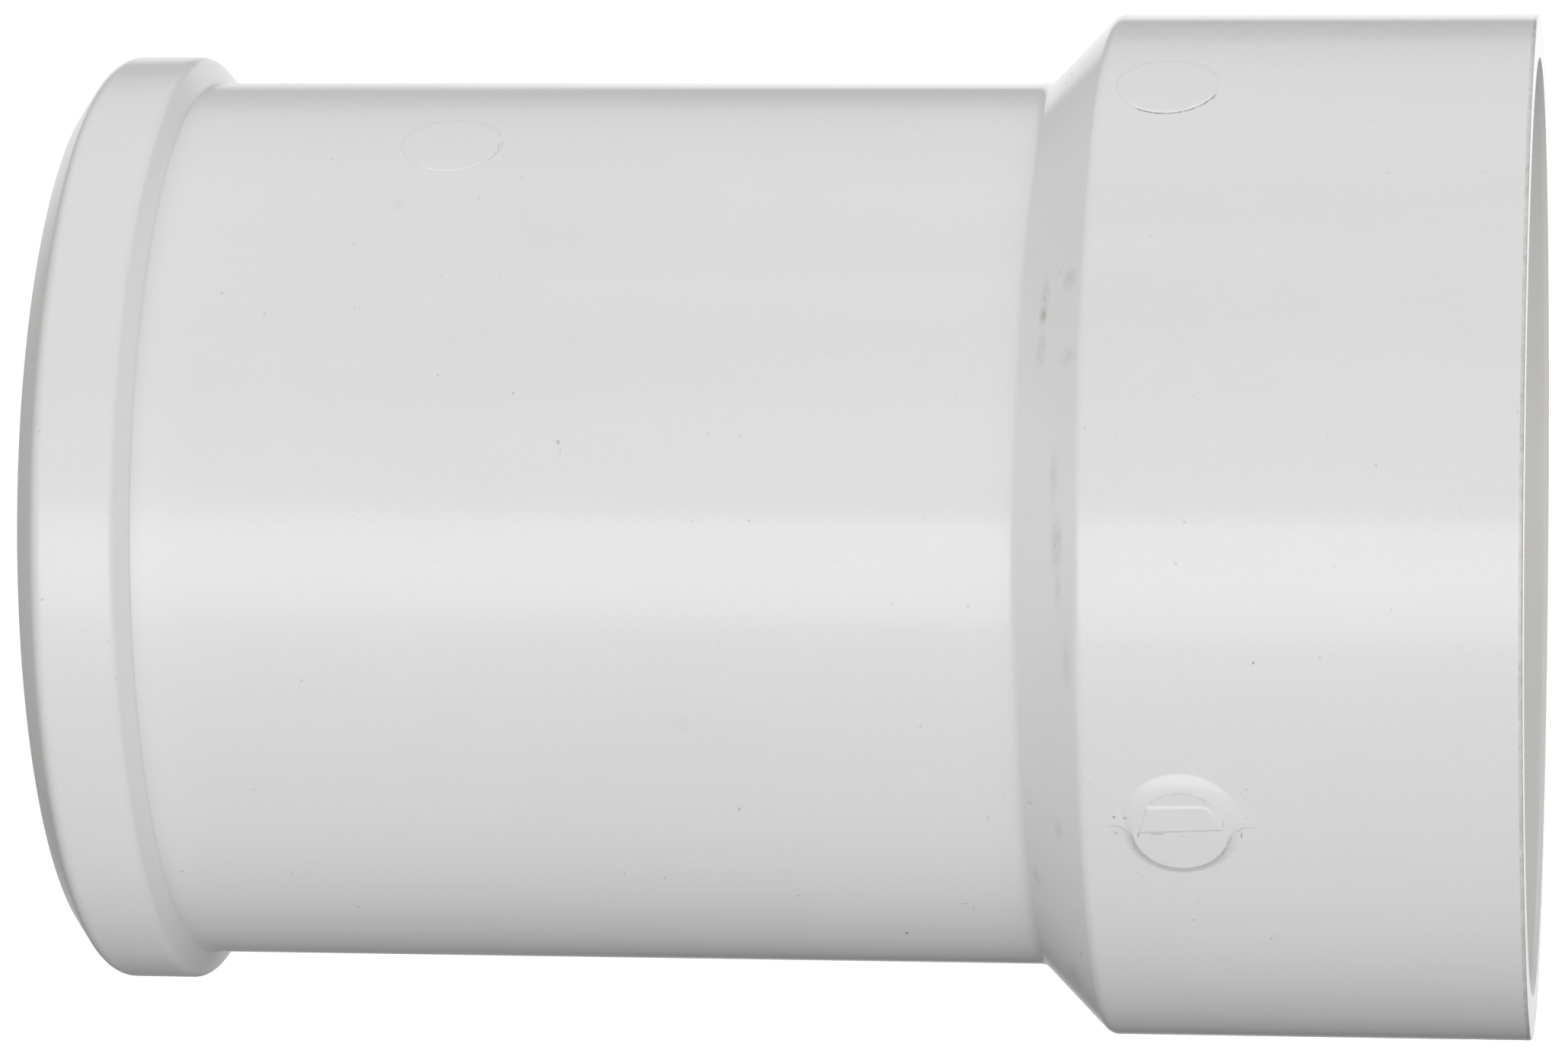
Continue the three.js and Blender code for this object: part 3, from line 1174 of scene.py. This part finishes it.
# Light from above and from below: overall, then towards -Y, +Y, -X and +X.
TOP_LIGHT = (0.00, 0.82, 0.20, 0.34, 0.55)
BOTTOM_LIGHT = (0.00, 0.79, 0.00, 0.22, 0.07)
LIGHT_SCALE = 4.0
# Upward parts of a direction where the sides' light ends and where the caps' starts.
SIDE_FADE, CAP_FADE = (0.5, 0.85), (0.3, 0.75)
SENSOR_WIDTH = 36.0
# The cove, in metres: its floor's radius, the radius of its bend and its wall's height.
COVE_FLOOR, COVE_BEND, COVE_TOP, COVE_STEPS = 5.0, 1.0, 4.0, 96


class COUPLING_OT_studio(bpy.types.Operator):
    """Set up the floor, the light and the camera"""

    bl_idname = "coupling.studio"
    bl_label = "Studio"

    def execute(self, context):
        scene, studio = context.scene, context.scene.coupling_studio
        self.add_camera(scene, studio)
        self.add_cove(studio)
        self.add_surroundings(scene)
        scene.view_settings.view_transform = "Standard"
        return {"FINISHED"}

    def add_camera(self, scene, studio):
        dip, roll = studio.camera_dip, studio.camera_roll
        ahead = Vector((0.0, math.cos(dip), -math.sin(dip)))
        up_axis = Vector((0.0, math.sin(dip), math.cos(dip)))
        down = Vector((1.0, 0.0, 0.0))
        across = up_axis * math.cos(roll) + down * math.sin(roll)
        top = up_axis * math.sin(roll) - down * math.cos(roll)
        data = bpy.data.cameras.new("camera")
        data.lens, data.sensor_width = studio.lens, SENSOR_WIDTH
        data.shift_y = studio.camera_shift
        data.clip_start, data.clip_end = 0.01, 100.0
        camera = bpy.data.objects.new("camera", data)
        turn = Matrix((across, top, -ahead)).transposed()
        camera.matrix_world = Matrix.Translation(studio.camera_place) @ turn.to_4x4()
        scene.collection.objects.link(camera)
        scene.camera = camera

    def add_cove(self, studio):
        """A pale floor that curves up into a wall. It is seen but doesn't light the fitting."""
        profile = [(COVE_FLOOR, 0.0)]
        for degrees in range(10, 91, 10):
            bend = math.radians(degrees)
            profile.append((
                COVE_FLOOR + COVE_BEND * math.sin(bend), COVE_BEND * (1.0 - math.cos(bend))
            ))
        profile.append((COVE_FLOOR + COVE_BEND, COVE_TOP))
        steps = COVE_STEPS
        places, faces = [], []
        for r, z in profile:
            for k in range(steps):
                turn = 2 * math.pi * k / steps
                places.append((r * math.cos(turn), r * math.sin(turn), z))
        faces.append(tuple(range(steps)))
        for row in range(len(profile) - 1):
            for k in range(steps):
                a, b = row * steps + k, row * steps + (k + 1) % steps
                faces.append((a, b, b + steps, a + steps))
        mesh = new_mesh("studio_cove", places, faces=faces)
        mesh.shade_smooth()
        cove = link("studio_cove", mesh)
        material = bpy.data.materials.new("cove_paint")
        graph = empty_graph(material)
        place = graph.add("ShaderNodeTexCoord", output="Object")
        tone = studio.floor_tone
        paint = graph.blend(graph.noise(place, 3.0) + 0.5, (tone,) * 3, (tone - 0.01,) * 3)
        shader = graph.add(
            "ShaderNodeBsdfPrincipled", None,
            {"Base Color": paint, "Roughness": 0.9, "Emission Color": (1.0, 1.0, 1.0, 1.0),
             "Emission Strength": studio.floor_glow}, "BSDF",
        )
        graph.add("ShaderNodeOutputMaterial", None, {"Surface": shader}, None)
        mesh.materials.append(material)
        for ray in ("diffuse", "glossy", "transmission", "shadow"):
            setattr(cove, f"visible_{ray}", False)

    def add_surroundings(self, scene):
        world = bpy.data.worlds.new("softboxes")
        scene.world = world
        graph = empty_graph(world)
        way = graph.add("ShaderNodeTexCoord", output="Generated")
        x, y, z = graph.split(way)
        turn = x.maths("ARCTAN2", -y) / (2 * math.pi) + 0.5
        stops = [((degrees + 180) / 360, level / LIGHT_SCALE) for degrees, level in AZIMUTH_LIGHT]
        around = graph.add("ShaderNodeValToRGB", {"stops": stops}, {"Fac": turn}, "Color")
        sides = (-y, y, -x, x)
        light = around * abs(z).step(*SIDE_FADE, 1.0, 0.0)
        start, full = CAP_FADE
        caps = ((z.step(start, full), TOP_LIGHT), (z.step(-start, -full), BOTTOM_LIGHT))
        for cap, levels in caps:
            total = levels[0] / LIGHT_SCALE
            for side, level in zip(sides, levels[1:]):
                total = side.most(0.0) * (level / LIGHT_SCALE) + total
            light = light + cap * total
        back = graph.add(
            "ShaderNodeBackground", None, {"Color": light, "Strength": LIGHT_SCALE}
        )
        graph.add("ShaderNodeOutputWorld", None, {"Surface": back}, None)


class COUPLING_PT_panel(bpy.types.Panel):
    """Sidebar panel with the fitting's sections and their sizes"""

    bl_idname = "COUPLING_PT_panel"
    bl_label = "Reducing Drain Coupling"
    bl_space_type = "VIEW_3D"
    bl_region_type = "UI"
    bl_category = "Coupling"

    def draw(self, context):
        for operator in OPERATORS:
            self.layout.operator(operator.bl_idname)
        for name in SETTINGS:
            group = getattr(context.scene, name)
            box = self.layout.box()
            for key in group.bl_rna.properties.keys():
                if key not in ("rna_type", "name"):
                    box.prop(group, key)


SETTINGS = {
    "coupling_shape": CouplingShape,
    "coupling_marks": MouldMarks,
    "coupling_finish": PvcFinish,
    "coupling_studio": StudioSettings,
}
OPERATORS = (
    COUPLING_OT_bead,
    COUPLING_OT_barrel,
    COUPLING_OT_cone,
    COUPLING_OT_stop,
    COUPLING_OT_hub,
    COUPLING_OT_insert_marks,
    COUPLING_OT_parting_flash,
    COUPLING_OT_rim_burrs,
    COUPLING_OT_studio,
)
CLASSES = (*SETTINGS.values(), *OPERATORS, COUPLING_PT_panel)


def register():
    for entry in CLASSES:
        bpy.utils.register_class(entry)
    for name, group in SETTINGS.items():
        setattr(bpy.types.Scene, name, bpy.props.PointerProperty(type=group))


def unregister():
    for name in SETTINGS:
        delattr(bpy.types.Scene, name)
    for entry in reversed(CLASSES):
        bpy.utils.unregister_class(entry)


def main():
    register()
    for operator in OPERATORS:
        group, name = operator.bl_idname.split(".")
        if getattr(getattr(bpy.ops, group), name)() != {"FINISHED"}:
            raise RuntimeError(f"{operator.bl_idname} did not finish")


if __name__ == "__main__":
    main()
